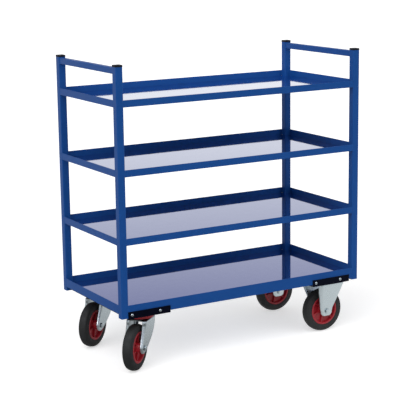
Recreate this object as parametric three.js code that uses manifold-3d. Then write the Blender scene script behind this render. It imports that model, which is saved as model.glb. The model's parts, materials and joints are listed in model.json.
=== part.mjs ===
// Shelf trolley: four square tube posts, four sheet metal shelves in angle rails, a handle bar at each
// end, two swivel casters at the left end and two fixed casters at the right end.

import * as THREE from 'three';
import { mergeVertices } from 'three/addons/utils/BufferGeometryUtils.js';
import Module from 'manifold-3d';

const wasm = await Module();
wasm.setup();

// All lengths are in millimetres. X runs along the trolley from left to right, Y from the front to the
// rear and Z up from the floor. The frame is modelled about its own middle.

// Frame
const frameLength = 1212;
const frameWidth = 574;
const postTop = 1292;
const postSide = 32;
const postWall = 2;
const postCorner = 3;

// Plastic caps in the tops of the posts
const capOverhang = 0.6;
const capHeight = 8;
const capCorner = 3.4;
const plugDepth = 18;

// Handle bars between the posts of each end
const handleSide = 26;
const handleWall = 2;
const handleCorner = 3;
const handleDrop = 4;
const handleTop = postTop - handleDrop;

// Folded channels under the frame, which carry the posts above and the casters below
const mountingHeight = 241;
const channelLength = 200;
const channelThickness = 3;
const channelFlange = 30.5;
const leftChannelInset = 30;
const rightChannelInset = 49;
const footHeight = mountingHeight + channelThickness;

// Shelves, counted from the bottom. The bottom one's side rails end just above the feet of the posts, the
// top one's rim lies below the post tops, and the panels are spaced evenly. Each panel lies in a recess.
const shelfCount = 4;
const topRimDrop = 135;
const bottomRailGap = 6;
const bottomSideRailHeight = 50;
const bottomEndRailHeight = 38;
const railThickness = 2;
const ledgeWidth = 24;
const bottomPanelRecess = 29;
const panelRecess = 26.5;
const panelThickness = 1;
const panelGap = 1;
const bottomRimTop = footHeight + bottomRailGap + bottomSideRailHeight;
const bottomDeck = bottomRimTop - bottomPanelRecess;
const shelfPitch = (postTop - topRimDrop - panelRecess - bottomDeck) / (shelfCount - 1);

// Screws that hold the channels to the side rails
const screwInset = 17.5;
const screwSpacing = 133;
const screwRise = 7;
const screwShankRadius = 3;
const screwHeadRadius = 6.5;
const screwHeadHeight = 4;
const screwNutRadius = 5.5;
const screwNutHeight = 5;
const screwDomeShares = [[0, 1], [0.7, 0.7], [1, 0]];

// Places of the casters: from the ends of the frame and from its sides
const casterEndInset = 136;
const casterSideInset = 89;
const frontSwivelTurn = THREE.MathUtils.degToRad(39.1);
const rearSwivelTurn = THREE.MathUtils.degToRad(34.5);

// Heights of a swivel caster, from its top plate down over the race and the crown to the fork's top web,
// and the gap between the web and the wheel
const plateThickness = 5;
const raceHeight = 14;
const crownHeight = 9;
const swivelForkTopThickness = 4;
const wheelGap = 9;
const swivelForkTop = mountingHeight - plateThickness - raceHeight - crownHeight;

// Wheels
const wheelRadius = (swivelForkTop - swivelForkTopThickness - wheelGap) / 2;
const tyreWidth = 45;
const tyreDepth = 32;
const tyreSeatRadius = wheelRadius - tyreDepth;
const tyreProfileShares = [[0, 0.88], [0.15, 0.98], [0.5, 0.96], [0.8, 0.84], [0.94, 0.62], [1, 0]];
const rimWidth = 43;
const rimLip = 8;
const rimWebThickness = 14;
const rimDishDepth = 4;
const hubRadius = 19;
const hubPlay = 1;
const ribCount = 6;
const ribThickness = 6;
const ribWidth = 32;
const ribTurn = THREE.MathUtils.degToRad(18);

// Axle: a bolt in a sleeve, with a hexagon head and nut outside the fork
const sleeveRadius = 10;
const axleRadius = 6;
const axleHeadRadius = 11;
const axleHeadHeight = 8;

// Legs of the forks, pressed as pans whose edges turn in towards the wheel, less deep at the foot
const legOffset = 44;
const legThickness = 3;
const legTopDepth = 17;
const legFootDepth = 12;
const legBendRise = 14;
const legBend = wheelRadius + legBendRise;

// Fixed fork, whose legs narrow from the plate to the waist and from there to a flat foot
const fixedForkTopLength = 134;
const fixedForkTopWidth = 180;
const fixedForkWaistLength = 100;
const fixedForkWaistRise = 70;
const fixedForkWaistHeight = wheelRadius + fixedForkWaistRise;
const fixedForkFootLength = 60;
const fixedForkFootDepth = hubRadius + 2 * hubPlay + legThickness;
const fixedForkFootCorner = 20;
const fixedPlateThickness = 4;

// Swivel fork, in a frame with the swivel axis at its origin and the axle behind it
const trail = 71;
const swivelForkReach = 55;
const swivelForkBack = 62;
const swivelForkTopWidth = 95;
const swivelForkCorner = 20;
const swivelForkFootRadius = 26;
const swivelForkShoulderDrop = 23;
const swivelForkShoulder = swivelForkTop - swivelForkShoulderDrop;
const swivelForkKneeRise = 36;
const swivelForkKnee = wheelRadius + swivelForkKneeRise;
const swivelForkToe = THREE.MathUtils.degToRad(-62);
const legFootHeight = wheelRadius - swivelForkFootRadius;
const crownRadius = 42;

// Top plate of a swivel caster, with its race and king pin
const plateLength = 135;
const plateWidth = 110;
const plateCorner = 12;
const raceRadius = 42;
const sealRadius = 55;
const kingPinRadius = 8;
const kingNutRadius = 14;
const kingNutHeight = 9;

// Bolts that hold the casters to the channels, at their insets from the edges of the plates
const swivelBoltInset = 15;
const fixedBoltEndInset = 17;
const fixedBoltSideInset = 37.5;
const swivelBoltSpacing = [plateLength - 2 * swivelBoltInset, plateWidth - 2 * swivelBoltInset];
const fixedBoltSpacing = [
  fixedForkTopLength - 2 * fixedBoltEndInset,
  fixedForkTopWidth - 2 * fixedBoltSideInset,
];
const boltRadius = 5;
const boltHeadRadius = 9;
const boltHeadHeight = 6;

// Clearances, and the overrun of every cut
const clearance = 0.3;
const overrun = 1;

// Sides of the round parts
const wheelSides = 28;
const crownSides = 28;
const axleSides = 14;
const smallSides = 8;
const hexSides = 6;
const cornerSteps = 2;
const footSteps = 5;
const weldDistance = 1e-4;

const blue = new THREE.MeshStandardMaterial({ color: 0x1c4a8f, roughness: 0.35, metalness: 0.1 });
const black = new THREE.MeshStandardMaterial({ color: 0x101216, roughness: 0.5, metalness: 0.1 });
const zincSheet = new THREE.MeshStandardMaterial({ color: 0xc4c8d4, roughness: 0.2, metalness: 0.9 });
const zinc = new THREE.MeshStandardMaterial({ color: 0xbfc8cc, roughness: 0.35, metalness: 0.9 });
const redPlastic = new THREE.MeshStandardMaterial({ color: 0x96141e, roughness: 0.45, metalness: 0 });
const rubber = new THREE.MeshStandardMaterial({ color: 0x232628, roughness: 0.8, metalness: 0 });

// Closed geometry as a solid that can be joined and cut. Triangles with no area are left out.
function toSolid(geometry) {
  const plain = geometry.clone();
  plain.deleteAttribute('normal');
  plain.deleteAttribute('uv');
  const merged = mergeVertices(plain, weldDistance);
  const index = merged.index.array;
  const triangles = [];
  for (let i = 0; i < index.length; i += 3) {
    const [a, b, c] = [index[i], index[i + 1], index[i + 2]];
    if (a !== b && b !== c && c !== a) triangles.push(a, b, c);
  }
  const vertProperties = new Float32Array(merged.getAttribute('position').array);
  return new wasm.Manifold(new wasm.Mesh({ numProp: 3, vertProperties, triVerts: new Uint32Array(triangles) }));
}

// Solid back as geometry.
function toGeometry(solid) {
  const mesh = solid.getMesh();
  const geometry = new THREE.BufferGeometry();
  geometry.setAttribute('position', new THREE.BufferAttribute(mesh.vertProperties, 3));
  geometry.setIndex(new THREE.BufferAttribute(mesh.triVerts, 1));
  geometry.computeVertexNormals();
  return geometry;
}

// Geometries joined into one, less the cuts.
function joined(geometries, cuts = []) {
  let solid = toSolid(geometries[0]);
  for (const geometry of geometries.slice(1)) solid = solid.add(toSolid(geometry));
  for (const cut of cuts) solid = solid.subtract(toSolid(cut));
  return toGeometry(solid);
}

// Box between two corners.
function boxBetween(low, high) {
  const [x, y, z] = high.map((value, axis) => value - low[axis]);
  const geometry = new THREE.BoxGeometry(x, y, z);
  return geometry.translate((low[0] + high[0]) / 2, (low[1] + high[1]) / 2, (low[2] + high[2]) / 2);
}

// Upright round bar at a place, between two heights.
function columnZ(radius, bottom, top, sides, x = 0, y = 0) {
  const geometry = new THREE.CylinderGeometry(radius, radius, top - bottom, sides);
  return geometry.rotateX(Math.PI / 2).translate(x, y, (bottom + top) / 2);
}

// Round bar along Y, between two places, on an axis at x and z.
function barY(radius, from, to, sides, x = 0, z = 0) {
  const geometry = new THREE.CylinderGeometry(radius, radius, to - from, sides);
  return geometry.translate(x, (from + to) / 2, z);
}

// Radius of the corners of a polygon whose flats lie at the given radius.
function cornerRadius(flatRadius, sides) {
  return flatRadius / Math.cos(Math.PI / sides);
}

// Rectangle with round corners about the origin.
function roundedRectangle(sizeX, sizeY, corner) {
  const x = sizeX / 2 - corner;
  const y = sizeY / 2 - corner;
  const shape = new THREE.Shape();
  shape.absarc(x, y, corner, 0, Math.PI / 2);
  shape.absarc(-x, y, corner, Math.PI / 2, Math.PI);
  shape.absarc(-x, -y, corner, Math.PI, 1.5 * Math.PI);
  shape.absarc(x, -y, corner, 1.5 * Math.PI, 2 * Math.PI);
  return shape;
}

// Shape drawn out along +Z from the given height.
function extruded(shape, bottom, top, steps = cornerSteps) {
  const options = { depth: top - bottom, bevelEnabled: false, curveSegments: steps };
  return new THREE.ExtrudeGeometry(shape, options).translate(0, 0, bottom);
}

// Square about the origin.
function square(side, path = new THREE.Shape()) {
  const half = side / 2;
  return path.setFromPoints([[1, 1], [-1, 1], [-1, -1], [1, -1]].map(([x, y]) => (
    new THREE.Vector2(x * half, y * half))));
}

// Square tube along Z with round outer corners.
function squareTube(side, wall, corner, bottom, top) {
  const shape = roundedRectangle(side, side, corner);
  shape.holes.push(square(side - 2 * wall, new THREE.Path()));
  return extruded(shape, bottom, top);
}

// Ring or shaft about the Y axis. The profile is a list of [radius, y] on one side of the middle, from
// the inside out, and is mirrored to the other side.
function turnedAboutMiddle(halfProfile, sides) {
  const points = halfProfile.map(([radius, y]) => new THREE.Vector2(radius, y));
  const mirrored = points.filter((point) => point.y > 0).map((point) => new THREE.Vector2(point.x, -point.y));
  const loop = [...mirrored, ...points.slice().reverse()];
  loop.push(loop[0].clone());
  return new THREE.LatheGeometry(loop, sides, Math.PI / sides);
}

// Named piece at a place.
function piece(name, geometry, material, x = 0, y = 0, z = 0) {
  const mesh = new THREE.Mesh(geometry, material);
  mesh.name = name;
  mesh.position.set(x, y, z);
  return mesh;
}

const halfLength = frameLength / 2;
const halfWidth = frameWidth / 2;
const ends = [['left', -1], ['right', 1]];
const sides = [['front', -1], ['rear', 1]];

// Posts and caps
function posts() {
  const group = new THREE.Group();
  const tube = squareTube(postSide, postWall, postCorner, footHeight, postTop);
  const capSide = postSide + 2 * capOverhang;
  const plugSide = postSide - 2 * postWall - 2 * clearance;
  const head = extruded(roundedRectangle(capSide, capSide, capCorner), postTop, postTop + capHeight);
  const plug = extruded(square(plugSide), postTop - plugDepth, postTop + overrun);
  const cap = joined([head, plug]);
  for (const [end, endSign] of ends) {
    for (const [side, sideSign] of sides) {
      const x = endSign * (halfLength - postSide / 2);
      const y = sideSign * (halfWidth - postSide / 2);
      group.add(piece(`${side}_${end}_post`, tube, blue, x, y));
      group.add(piece(`${side}_${end}_post_cap`, cap, black, x, y));
    }
  }
  return group;
}

// Handle bars, welded between the two posts of each end
function handles() {
  const group = new THREE.Group();
  const half = halfWidth - postSide;
  const tube = squareTube(handleSide, handleWall, handleCorner, -half, half).rotateX(Math.PI / 2);
  for (const [end, endSign] of ends) {
    const x = endSign * (halfLength - postSide / 2);
    group.add(piece(`${end}_handle_bar`, tube, blue, x, 0, handleTop - handleSide / 2));
  }
  return group;
}

// Section of a rail, measured inwards from its outer face and up from its rim. The web of a bottom rail
// goes on below the ledge.
function railSection(height, ledgeTop) {
  const ledgeBottom = ledgeTop - railThickness;
  const shape = new THREE.Shape();
  shape.moveTo(0, 0);
  shape.lineTo(0, -height);
  shape.lineTo(railThickness, -height);
  if (height > -ledgeBottom) shape.lineTo(railThickness, ledgeBottom);
  shape.lineTo(ledgeWidth, ledgeBottom);
  shape.lineTo(ledgeWidth, ledgeTop);
  shape.lineTo(railThickness, ledgeTop);
  shape.lineTo(railThickness, 0);
  return shape;
}

// Rail about its own middle, along X, with its outer face towards -Y and its rim at height zero.
function rail(length, height, ledgeTop) {
  const geometry = extruded(railSection(height, ledgeTop), -length / 2, length / 2);
  const alongX = new THREE.Vector3(1, 0, 0);
  const inwards = new THREE.Vector3(0, 1, 0);
  const up = new THREE.Vector3(0, 0, 1);
  return geometry.applyMatrix4(new THREE.Matrix4().makeBasis(inwards, up, alongX));
}

// Middles of the two channels and of their screws along X
const channelPlaces = {
  left: -halfLength + leftChannelInset + channelLength / 2,
  right: halfLength - rightChannelInset - channelLength / 2,
};
const screwPlaces = [screwInset - channelLength / 2, screwInset + screwSpacing - channelLength / 2];
const screwHeight = footHeight + bottomRailGap + screwRise;

// Holes for the screws in a bottom side rail, in the rail's own frame
function railScrewHoles(sideSign) {
  const radius = cornerRadius(screwShankRadius + clearance, smallSides);
  const from = -overrun;
  const to = railThickness + overrun;
  const holes = [];
  for (const middle of Object.values(channelPlaces)) {
    for (const place of screwPlaces) {
      const x = -sideSign * (middle + place);
      holes.push(barY(radius, from, to, smallSides, x, screwHeight - bottomRimTop));
    }
  }
  return holes;
}

// One shelf: two side rails, two end rails and a panel that lies on their ledges
function shelf(level) {
  const group = new THREE.Group();
  const name = `shelf_${level + 1}`;
  const isBottom = level === 0;
  const recess = isBottom ? bottomPanelRecess : panelRecess;
  const ledgeTop = -(recess + panelThickness);
  const sideHeight = isBottom ? bottomSideRailHeight : railThickness - ledgeTop;
  const endHeight = isBottom ? bottomEndRailHeight : railThickness - ledgeTop;
  group.position.z = bottomDeck + level * shelfPitch + recess;
  for (const [side, sideSign] of sides) {
    let geometry = rail(frameLength - 2 * postSide, sideHeight, ledgeTop);
    if (isBottom) geometry = joined([geometry], railScrewHoles(sideSign));
    const mesh = piece(`${name}_${side}_rail`, geometry, blue, 0, sideSign * halfWidth);
    mesh.rotation.z = sideSign > 0 ? Math.PI : 0;
    group.add(mesh);
  }
  for (const [end, endSign] of ends) {
    const geometry = rail(frameWidth - 2 * postSide, endHeight, ledgeTop);
    const mesh = piece(`${name}_${end}_rail`, geometry, blue, endSign * halfLength);
    mesh.rotation.z = endSign * Math.PI / 2;
    group.add(mesh);
  }
  group.add(piece(`${name}_panel`, panel(ledgeTop), zincSheet));
  return group;
}

// Shelf panel: a sheet notched round the posts, which lies on the ledges
function panel(ledgeTop) {
  const x = halfLength - railThickness - panelGap;
  const y = halfWidth - railThickness - panelGap;
  const postX = halfLength - postSide - panelGap;
  const postY = halfWidth - postSide - panelGap;
  const points = [];
  for (const [signX, signY] of [[1, 1], [-1, 1], [-1, -1], [1, -1]]) {
    const notch = [[x, postY], [postX, postY], [postX, y]];
    if (signX * signY < 0) notch.reverse();
    for (const [px, py] of notch) points.push(new THREE.Vector2(signX * px, signY * py));
  }
  return extruded(new THREE.Shape(points), ledgeTop, ledgeTop + panelThickness);
}

// Channel under the frame: a web below the rails, with flanges turned up outside them
function channel(end, boltPlaces) {
  const x = channelLength / 2;
  const y = halfWidth + channelThickness;
  const top = footHeight;
  const flangeTop = mountingHeight + channelFlange;
  const web = boxBetween([-x, -y, mountingHeight], [x, y, top]);
  const front = boxBetween([-x, -y, mountingHeight], [x, -halfWidth, flangeTop]);
  const rear = boxBetween([-x, halfWidth, mountingHeight], [x, y, flangeTop]);
  const cuts = [];
  const screwHole = cornerRadius(screwShankRadius + clearance, smallSides);
  for (const place of screwPlaces) {
    for (const sign of [-1, 1]) {
      const [from, to] = [sign * halfWidth, sign * y].sort((a, b) => a - b);
      cuts.push(barY(screwHole, from - overrun, to + overrun, smallSides, place, screwHeight));
    }
  }
  const boltHole = cornerRadius(boltRadius + clearance, smallSides);
  for (const [boltX, boltY] of boltPlaces) {
    const inChannel = boltX - channelPlaces[end];
    cuts.push(columnZ(boltHole, mountingHeight - overrun, top + overrun, smallSides, inChannel, boltY));
  }
  return piece(`${end}_caster_channel`, joined([web, front, rear], cuts), black, channelPlaces[end]);
}

// Screw with a domed head, through the channel's flange and the rail, with its nut inside. Its axis is Y
// and the outer face of the rail is at zero.
function flangeScrew() {
  const dome = screwDomeShares.map(([radiusShare, heightShare]) => (
    [radiusShare * screwHeadRadius, -channelThickness - heightShare * screwHeadHeight]));
  const profile = [
    ...dome,
    [screwShankRadius, -channelThickness],
    [screwShankRadius, railThickness],
    [screwNutRadius, railThickness],
    [screwNutRadius, railThickness + screwNutHeight],
    [0, railThickness + screwNutHeight],
  ];
  const points = profile.map(([radius, y]) => new THREE.Vector2(radius, y));
  return new THREE.LatheGeometry(points, smallSides);
}

function flangeScrews() {
  const group = new THREE.Group();
  const geometry = flangeScrew();
  for (const [end] of ends) {
    screwPlaces.forEach((place, index) => {
      for (const [side, sideSign] of sides) {
        const name = `${side}_${end}_channel_screw_${index + 1}`;
        const mesh = piece(name, geometry, zinc, channelPlaces[end] + place, sideSign * halfWidth, screwHeight);
        mesh.rotation.z = sideSign > 0 ? Math.PI : 0;
        group.add(mesh);
      }
    });
  }
  return group;
}

// Bolts through a caster's plate and its channel: head below, nut above. Z is the height above the floor.
function plateBolts([spacingX, spacingY], plateBottom) {
  const channelTop = footHeight;
  const bolts = [];
  for (const signX of [-1, 1]) {
    for (const signY of [-1, 1]) {
      const x = signX * spacingX / 2;
      const y = signY * spacingY / 2;
      bolts.push(columnZ(boltRadius, plateBottom, channelTop + boltHeadHeight, smallSides, x, y));
      bolts.push(columnZ(boltHeadRadius, plateBottom - boltHeadHeight, plateBottom, hexSides, x, y));
      bolts.push(columnZ(boltHeadRadius, channelTop, channelTop + boltHeadHeight, hexSides, x, y));
    }
  }
  return bolts;
}

// Outline of a fixed fork's leg in its own plane. The inset makes the pan's inner outline.
function fixedLegOutline(top, inset) {
  const half = fixedForkTopLength / 2 - inset;
  const waist = fixedForkWaistLength / 2 - inset;
  const foot = fixedForkFootLength / 2 - inset;
  const corner = fixedForkFootCorner - inset;
  const cornerHeight = wheelRadius - fixedForkFootDepth + inset + corner;
  const flareRise = (top - fixedForkWaistHeight) / 2;
  const flareX = waist + flareRise * (waist - foot) / (fixedForkWaistHeight - cornerHeight);
  const flareHeight = fixedForkWaistHeight + flareRise;
  const shape = new THREE.Shape();
  shape.moveTo(half, top);
  shape.lineTo(-half, top);
  shape.quadraticCurveTo(-flareX, flareHeight, -waist, fixedForkWaistHeight);
  shape.absarc(corner - foot, cornerHeight, corner, Math.PI, 1.5 * Math.PI);
  shape.absarc(foot - corner, cornerHeight, corner, 1.5 * Math.PI, 2 * Math.PI);
  shape.lineTo(waist, fixedForkWaistHeight);
  shape.quadraticCurveTo(flareX, flareHeight, half, top);
  return shape;
}

// Outline of a swivel fork's leg in its own plane. The back edge rounds the shoulder and touches the round
// foot, and the front edge turns at the knee and ends at the toe.
function swivelLegOutline(top, inset) {
  const radius = swivelForkFootRadius - inset;
  const back = inset - swivelForkBack;
  const front = swivelForkReach - inset;
  const shoulderTop = swivelForkTop - inset;
  const fromFoot = new THREE.Vector2(trail + back, swivelForkShoulder - wheelRadius);
  const heel = fromFoot.angle() + Math.acos(radius / fromFoot.length());
  const shape = new THREE.Shape();
  shape.moveTo(front, top);
  shape.lineTo(-front, top);
  shape.lineTo(-front, shoulderTop);
  shape.quadraticCurveTo(back, shoulderTop, back, swivelForkShoulder);
  shape.absarc(-trail, wheelRadius, radius, heel, 2 * Math.PI + swivelForkToe);
  shape.quadraticCurveTo(front, swivelForkKnee, front, top);
  return shape;
}

// Pressed leg on the -Y side of the wheel, upright up to the bend and leaning outwards above it. Its
// edges turn in towards the wheel, less deep towards the foot. The leg is where its outline, seen along
// the axle, and its bent section, seen along the trolley, meet, less the hollow inside its edges.
function pressedLeg(outline, top, lean) {
  const reach = trail + fixedForkTopLength;
  const deepening = (legTopDepth - legFootDepth) / (top - legFootHeight);
  const face = (z) => legOffset + lean * Math.max(z - legBend, 0);
  const inside = (z) => face(z) - legThickness;
  const edge = (z) => face(z) - legFootDepth - deepening * (z - legFootHeight);
  const middle = () => 0;
  const heights = [legFootHeight - overrun, legBend, top + overrun];
  const band = (outer, inner) => new THREE.Shape([
    ...heights.map((z) => new THREE.Vector2(outer(z), z)),
    ...heights.slice().reverse().map((z) => new THREE.Vector2(inner(z), z)),
  ]);
  const along = new THREE.Vector3(1, 0, 0);
  const back = new THREE.Vector3(-1, 0, 0);
  const up = new THREE.Vector3(0, 0, 1);
  const outwards = new THREE.Vector3(0, -1, 0);
  const upright = new THREE.Matrix4().makeBasis(along, up, outwards);
  const across = new THREE.Matrix4().makeBasis(outwards, up, back);
  const seenAlongY = (shape) => extruded(shape, 0, face(top) + overrun, footSteps).applyMatrix4(upright);
  const seenAlongX = (shape) => extruded(shape, -reach, reach).applyMatrix4(across);
  const meeting = (first, second) => toSolid(seenAlongY(first)).intersect(toSolid(seenAlongX(second)));
  const pan = meeting(outline(top, 0), band(face, edge));
  const hollow = meeting(outline(top + overrun, legThickness), band(inside, middle));
  return toGeometry(pan.subtract(hollow));
}

function mirroredInY(geometry) {
  const mirrored = geometry.clone().applyMatrix4(new THREE.Matrix4().makeScale(1, -1, 1));
  const index = mirrored.index.array;
  for (let i = 0; i < index.length; i += 3) [index[i], index[i + 1]] = [index[i + 1], index[i]];
  return mirrored;
}

// Hole through both legs for the axle
function axleHole(x) {
  const radius = cornerRadius(axleRadius + clearance, axleSides);
  const reach = legOffset + overrun;
  return barY(radius, -reach, reach, axleSides, x, wheelRadius);
}

// Fixed fork: plate and legs in one pressing, with the bolts that hold it
function fixedFork() {
  const half = fixedForkTopLength / 2;
  const lean = (fixedForkTopWidth / 2 - legOffset) / (mountingHeight - legBend);
  const leg = pressedLeg(fixedLegOutline, mountingHeight, lean);
  const plateBottom = mountingHeight - fixedPlateThickness;
  const y = fixedForkTopWidth / 2;
  const inset = lean * fixedPlateThickness;
  const plate = boxBetween([-half, inset - y, plateBottom], [half, y - inset, mountingHeight]);
  const bolts = plateBolts(fixedBoltSpacing, plateBottom);
  return joined([plate, leg, mirroredInY(leg), ...bolts], [axleHole(0)]);
}

// Swivel fork: a top web and a crown under the race, and legs that reach back to the axle
function swivelFork() {
  const top = swivelForkTop;
  const lean = (swivelForkTopWidth / 2 - legOffset) / (top - legBend);
  const leg = pressedLeg(swivelLegOutline, top, lean);
  const webBottom = top - swivelForkTopThickness;
  const webWidth = swivelForkTopWidth - 2 * lean * swivelForkTopThickness;
  const web = extruded(roundedRectangle(2 * swivelForkReach, webWidth, swivelForkCorner), webBottom, top);
  const crown = columnZ(crownRadius, webBottom, top + crownHeight, crownSides);
  const pinHole = columnZ(
    cornerRadius(kingPinRadius + clearance, axleSides),
    webBottom - overrun,
    top + crownHeight + overrun,
    axleSides,
  );
  return joined([web, crown, leg, mirroredInY(leg)], [axleHole(-trail), pinHole]);
}

const crownTop = swivelForkTop + crownHeight;
const platesBottom = mountingHeight - plateThickness;

// Top plate of a swivel caster with its bolts, the upper race and the king pin with its nut
function swivelPlate() {
  const plate = extruded(roundedRectangle(plateLength, plateWidth, plateCorner), platesBottom, mountingHeight);
  const race = columnZ(raceRadius, crownTop + clearance, platesBottom + overrun, crownSides);
  const nutTop = swivelForkTop - swivelForkTopThickness - clearance;
  const pin = columnZ(kingPinRadius, nutTop - kingNutHeight, crownTop + overrun, axleSides);
  const nut = columnZ(kingNutRadius, nutTop - kingNutHeight, nutTop, hexSides);
  return joined([plate, race, pin, nut, ...plateBolts(swivelBoltSpacing, platesBottom)]);
}

// Seal ring round the race
function sealRing() {
  const ring = columnZ(sealRadius, swivelForkTop + clearance, platesBottom - clearance, crownSides);
  const bore = cornerRadius(raceRadius + clearance, crownSides);
  return joined([ring], [columnZ(bore, swivelForkTop, platesBottom, crownSides)]);
}

// Tyre about the wheel's middle, with a crowned tread and round shoulders
function tyre() {
  const halfProfile = tyreProfileShares.map(([depthShare, widthShare]) => (
    [cornerRadius(tyreSeatRadius + depthShare * tyreDepth, wheelSides), widthShare * tyreWidth / 2]));
  return turnedAboutMiddle(halfProfile, wheelSides);
}

// Rim about the wheel's middle: hub, dished web with ribs, and the ring that the tyre sits on
function rim() {
  const bore = cornerRadius(sleeveRadius + clearance, wheelSides);
  const seat = tyreSeatRadius - clearance;
  const ringInside = seat - rimLip;
  const webHalf = rimWebThickness / 2;
  const hubHalf = legOffset - legThickness - hubPlay;
  const turned = turnedAboutMiddle([
    [bore, hubHalf],
    [hubRadius, hubHalf],
    [hubRadius + rimDishDepth, webHalf],
    [ringInside - rimDishDepth, webHalf],
    [ringInside, rimWidth / 2],
    [seat, rimWidth / 2],
  ], wheelSides);
  const ribs = [];
  for (let i = 0; i < ribCount; i += 1) {
    const rib = boxBetween(
      [hubRadius - overrun, -ribWidth / 2, -ribThickness / 2],
      [ringInside + overrun, ribWidth / 2, ribThickness / 2],
    );
    ribs.push(rib.rotateY(-ribTurn - i * 2 * Math.PI / ribCount));
  }
  return joined([turned, ...ribs]);
}

// Axle: sleeve between the legs, bolt through them, hexagon head and nut outside
function axle() {
  const inside = legOffset - legThickness - clearance;
  const outside = legOffset + clearance;
  const end = outside + axleHeadHeight;
  return joined([
    barY(sleeveRadius, -inside, inside, axleSides),
    barY(axleRadius, -end, end, axleSides),
    barY(axleHeadRadius, -end, -outside, hexSides),
    barY(axleHeadRadius, outside, end, hexSides),
  ]);
}

// Axle, rim and tyre about the axle
function wheel(name) {
  const group = new THREE.Group();
  group.add(piece(`${name}_axle`, axle(), zinc));
  group.add(piece(`${name}_rim`, rim(), redPlastic));
  group.add(piece(`${name}_tyre`, tyre(), rubber));
  return group;
}

// Swivel caster: the plate and seal stay with the frame, the fork and wheel turn about the king pin
function swivelCaster(name, x, y, turn) {
  const caster = new THREE.Group();
  caster.position.set(x, y, 0);
  caster.add(piece(`${name}_swivel_plate`, swivelPlate(), zinc));
  caster.add(piece(`${name}_seal_ring`, sealRing(), redPlastic));
  const turning = new THREE.Group();
  turning.rotation.z = turn;
  turning.add(piece(`${name}_fork`, swivelFork(), zinc));
  const wheelGroup = wheel(name);
  wheelGroup.position.set(-trail, 0, wheelRadius);
  turning.add(wheelGroup);
  caster.add(turning);
  return caster;
}

function fixedCaster(name, x, y) {
  const caster = new THREE.Group();
  caster.position.set(x, y, 0);
  caster.add(piece(`${name}_fork`, fixedFork(), zinc));
  const wheelGroup = wheel(name);
  wheelGroup.position.z = wheelRadius;
  caster.add(wheelGroup);
  return caster;
}

// Places of the bolts of a pair of casters, along X and Y of the trolley
function boltPlaces(casterX, [spacingX, spacingY]) {
  const places = [];
  for (const signX of [-1, 1]) {
    for (const side of [-1, 1]) {
      for (const signY of [-1, 1]) {
        const y = side * (halfWidth - casterSideInset) + signY * spacingY / 2;
        places.push([casterX + signX * spacingX / 2, y]);
      }
    }
  }
  return places;
}

const casterX = halfLength - casterEndInset;
const casterY = halfWidth - casterSideInset;

const frame = new THREE.Group();
frame.add(posts(), handles());
for (let level = 0; level < shelfCount; level += 1) frame.add(shelf(level));
frame.add(channel('left', boltPlaces(-casterX, swivelBoltSpacing)));
frame.add(channel('right', boltPlaces(casterX, fixedBoltSpacing)));
frame.add(flangeScrews());

const trolley = new THREE.Group();
trolley.add(frame);
trolley.add(swivelCaster('front_left', -casterX, -casterY, frontSwivelTurn));
trolley.add(swivelCaster('rear_left', -casterX, casterY, rearSwivelTurn));
trolley.add(fixedCaster('front_right', casterX, -casterY));
trolley.add(fixedCaster('rear_right', casterX, casterY));

// The origin is put on the floor, in the middle of the space that the trolley takes up.
trolley.updateMatrixWorld(true);
const extent = new THREE.Box3().setFromObject(trolley, true);
const middle = extent.getCenter(new THREE.Vector3());
trolley.position.set(-middle.x, -middle.y, -extent.min.z);

export default trolley;
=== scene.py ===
"""Looks of the shelf trolley: finer pieces over the fixed frame, materials, floor, light and camera."""
import json
import math

import bmesh
import bpy
from mathutils import Matrix, Vector


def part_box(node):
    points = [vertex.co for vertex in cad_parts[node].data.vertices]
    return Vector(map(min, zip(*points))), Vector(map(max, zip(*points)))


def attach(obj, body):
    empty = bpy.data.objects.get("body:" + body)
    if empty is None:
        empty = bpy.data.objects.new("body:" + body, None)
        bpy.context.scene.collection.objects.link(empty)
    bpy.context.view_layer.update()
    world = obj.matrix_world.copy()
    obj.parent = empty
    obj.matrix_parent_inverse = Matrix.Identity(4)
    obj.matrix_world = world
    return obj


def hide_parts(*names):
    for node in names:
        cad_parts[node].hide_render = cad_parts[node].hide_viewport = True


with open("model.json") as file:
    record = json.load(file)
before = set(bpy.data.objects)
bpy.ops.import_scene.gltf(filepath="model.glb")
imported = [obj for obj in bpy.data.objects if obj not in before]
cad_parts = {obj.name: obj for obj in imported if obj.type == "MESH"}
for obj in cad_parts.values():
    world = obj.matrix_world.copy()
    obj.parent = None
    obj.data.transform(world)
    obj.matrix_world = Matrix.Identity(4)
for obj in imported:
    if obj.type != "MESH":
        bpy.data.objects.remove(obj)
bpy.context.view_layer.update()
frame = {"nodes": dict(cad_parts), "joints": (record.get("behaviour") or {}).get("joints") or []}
nodes = frame["nodes"]
joints = {joint["name"]: joint for joint in frame["joints"]}


def extent(name):
    """Length, width and height of a node."""
    low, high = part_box(name)
    return high - low


def middle(name):
    """Middle of a node's box."""
    low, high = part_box(name)
    return (low + high) / 2


ENDS = ("left", "right")
SIDES = ("front", "rear")
CASTERS = ("front_left", "rear_left", "front_right", "rear_right")
LEVELS = (1, 2, 3, 4)
SCREW_NUMBERS = (1, 2)

# Lengths are in metres, and small ones are written as millimetres times MM. PLAY keeps neighbours
# apart, and joined forms of one piece reach into each other by OVERLAP.
MM = 0.001
PLAY = 0.3 * MM
OVERLAP = 1 * MM
SAME_POINT = 0.01 * MM

# Camera
CAMERA_PLACE = Vector((-3.03546, -5.11175, 1.84885))
CAMERA_YAW = math.radians(-30.2263)
CAMERA_PITCH = math.radians(-11.5248)
CAMERA_ROLL = math.radians(-0.7872)
CAMERA_LENS = 121.829
CAMERA_SENSOR = 36.0

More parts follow.
